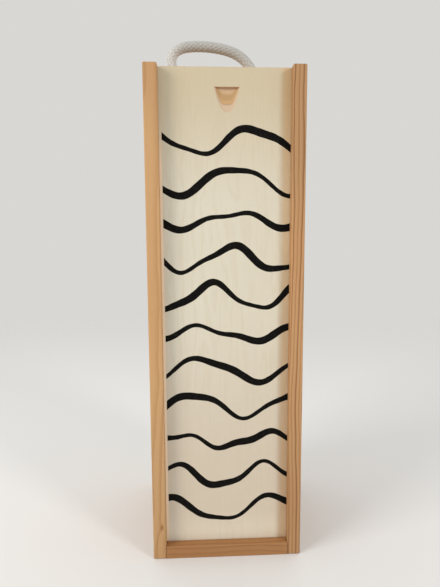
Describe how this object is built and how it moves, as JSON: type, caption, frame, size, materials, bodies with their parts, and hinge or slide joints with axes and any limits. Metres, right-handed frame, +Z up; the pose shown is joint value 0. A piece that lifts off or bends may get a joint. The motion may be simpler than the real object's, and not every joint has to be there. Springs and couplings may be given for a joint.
{
  "type": "wine box",
  "caption": "Upright wooden box for one bottle, with a plywood lid that slides up out of its grooves and a rope handle knotted under the top.",
  "frame": {"origin": "middle of the base that the box stands on", "axes": "+Z up along the box, -Y out of the front, where the lid is, +X to the right as the front is looked at"},
  "size_m": [0.11, 0.105, 0.3902],
  "materials": {
    "pine": "sanded bare pine",
    "plywood": "sanded bare plywood",
    "cotton_rope": "braided cotton",
    "steel": "bright wire"
  },
  "bodies": {
    "box": {"left_side_board": "pine", "right_side_board": "pine", "bottom_board": "pine", "top_board": "pine", "back_panel": "plywood", "rope_end_left": "cotton_rope", "rope_end_right": "cotton_rope", "bottom_nails_left": "steel", "bottom_nails_right": "steel", "top_nails_left": "steel", "top_nails_right": "steel", "back_nails": "steel"},
    "lid": {"sliding_lid": "plywood"},
    "handle": {"rope_handle": "cotton_rope"}
  },
  "joints": [
    {"name": "lid_slide", "type": "slide", "parent": "box", "child": "lid", "axis": [0, 0, 1], "range_m": [0, 0.35]},
    {"name": "handle_swing", "type": "hinge", "parent": "box", "child": "handle", "pos_m": [0, 0.00382, 0.359], "axis": [1, 0, 0], "range_deg": [-75, 75]}
  ]
}
